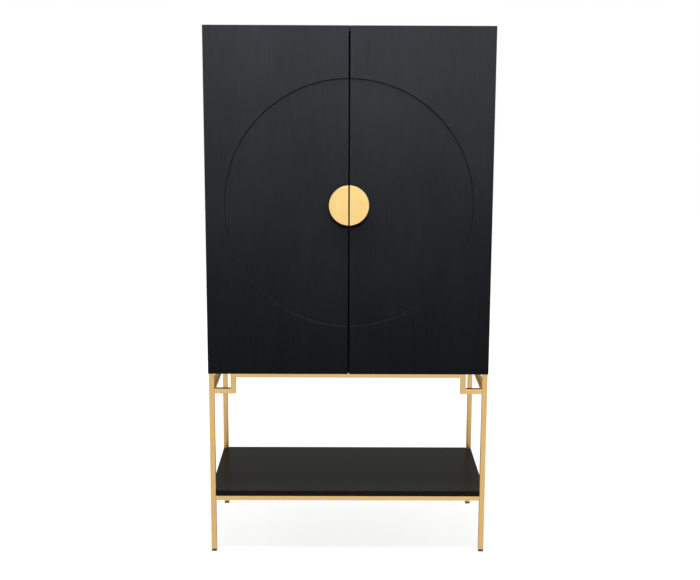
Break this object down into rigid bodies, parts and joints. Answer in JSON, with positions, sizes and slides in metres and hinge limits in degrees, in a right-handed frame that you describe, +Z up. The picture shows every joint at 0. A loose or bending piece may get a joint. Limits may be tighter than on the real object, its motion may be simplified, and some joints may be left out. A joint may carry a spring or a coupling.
{
  "type": "two-door bar cabinet on stand",
  "caption": "Tall black cabinet with two flat doors, a round recess and half-disc gold handles, on a thin gold tube stand with key-pattern corners and a low shelf; stores bottles and glasses.",
  "frame": {"origin": "middle of the footprint, on the floor", "axes": "+X to the viewer's right, +Y from the doors to the back, +Z up"},
  "size_m": [0.9042, 0.507, 1.705],
  "materials": {
    "black_board": "satin black lacquer over wood grain",
    "inside_board": "satin dark grey inside",
    "gold_tube": "satin gold-coloured metal",
    "gold_handle": "satin gold-coloured metal, fine brushing",
    "hinge_brass": "satin gold-coloured metal",
    "zinc_steel": "zinc plated",
    "magnet_metal": "dull grey",
    "beech": "plain, unfinished",
    "black_plastic": "matt black moulded"
  },
  "bodies": {
    "cabinet": {"left_side_panel": "black_board", "right_side_panel": "black_board", "top_panel": "black_board", "bottom_panel": "black_board", "back_panel": "inside_board", "upper_inner_shelf": "inside_board", "lower_inner_shelf": "inside_board", "shelf_pins": "zinc_steel", "corner_dowels": "beech", "cam_bolts": "zinc_steel", "cam_discs": "zinc_steel", "catch_housings": "black_plastic", "catch_magnets": "magnet_metal", "door_bumpers": "black_plastic", "left_frame_leaves": "hinge_brass", "right_frame_leaves": "hinge_brass", "left_hinge_pins": "zinc_steel", "right_hinge_pins": "zinc_steel", "left_frame_leaf_screws": "zinc_steel", "right_frame_leaf_screws": "zinc_steel", "front_left_leg": "gold_tube", "front_right_leg": "gold_tube", "rear_left_leg": "gold_tube", "rear_right_leg": "gold_tube", "front_top_rail": "gold_tube", "rear_top_rail": "gold_tube", "front_left_drop": "gold_tube", "front_right_drop": "gold_tube", "rear_left_drop": "gold_tube", "rear_right_drop": "gold_tube", "front_left_step": "gold_tube", "front_right_step": "gold_tube", "rear_left_step": "gold_tube", "rear_right_step": "gold_tube", "left_side_rail": "gold_tube", "right_side_rail": "gold_tube", "front_low_rail": "gold_tube", "rear_low_rail": "gold_tube", "left_low_rail": "gold_tube", "right_low_rail": "gold_tube", "lower_shelf": "black_board", "lower_shelf_screws": "zinc_steel", "box_screws": "zinc_steel", "glide_feet": "black_plastic"},
    "left_door": {"left_door": "black_board", "left_handle": "gold_handle", "left_handle_screws": "zinc_steel", "left_door_leaves": "hinge_brass", "left_door_leaf_screws": "zinc_steel", "left_strike_plate": "zinc_steel"},
    "right_door": {"right_door": "black_board", "right_handle": "gold_handle", "right_handle_screws": "zinc_steel", "right_door_leaves": "hinge_brass", "right_door_leaf_screws": "zinc_steel", "right_strike_plate": "zinc_steel"}
  },
  "joints": [
    {"name": "left_door_hinge", "type": "hinge", "parent": "cabinet", "child": "left_door", "pos_m": [-0.4497, -0.2125, 1.1575], "axis": [0, 0, -1], "range_deg": [0, 120]},
    {"name": "right_door_hinge", "type": "hinge", "parent": "cabinet", "child": "right_door", "pos_m": [0.4497, -0.2125, 1.1575], "axis": [0, 0, 1], "range_deg": [0, 120]}
  ]
}
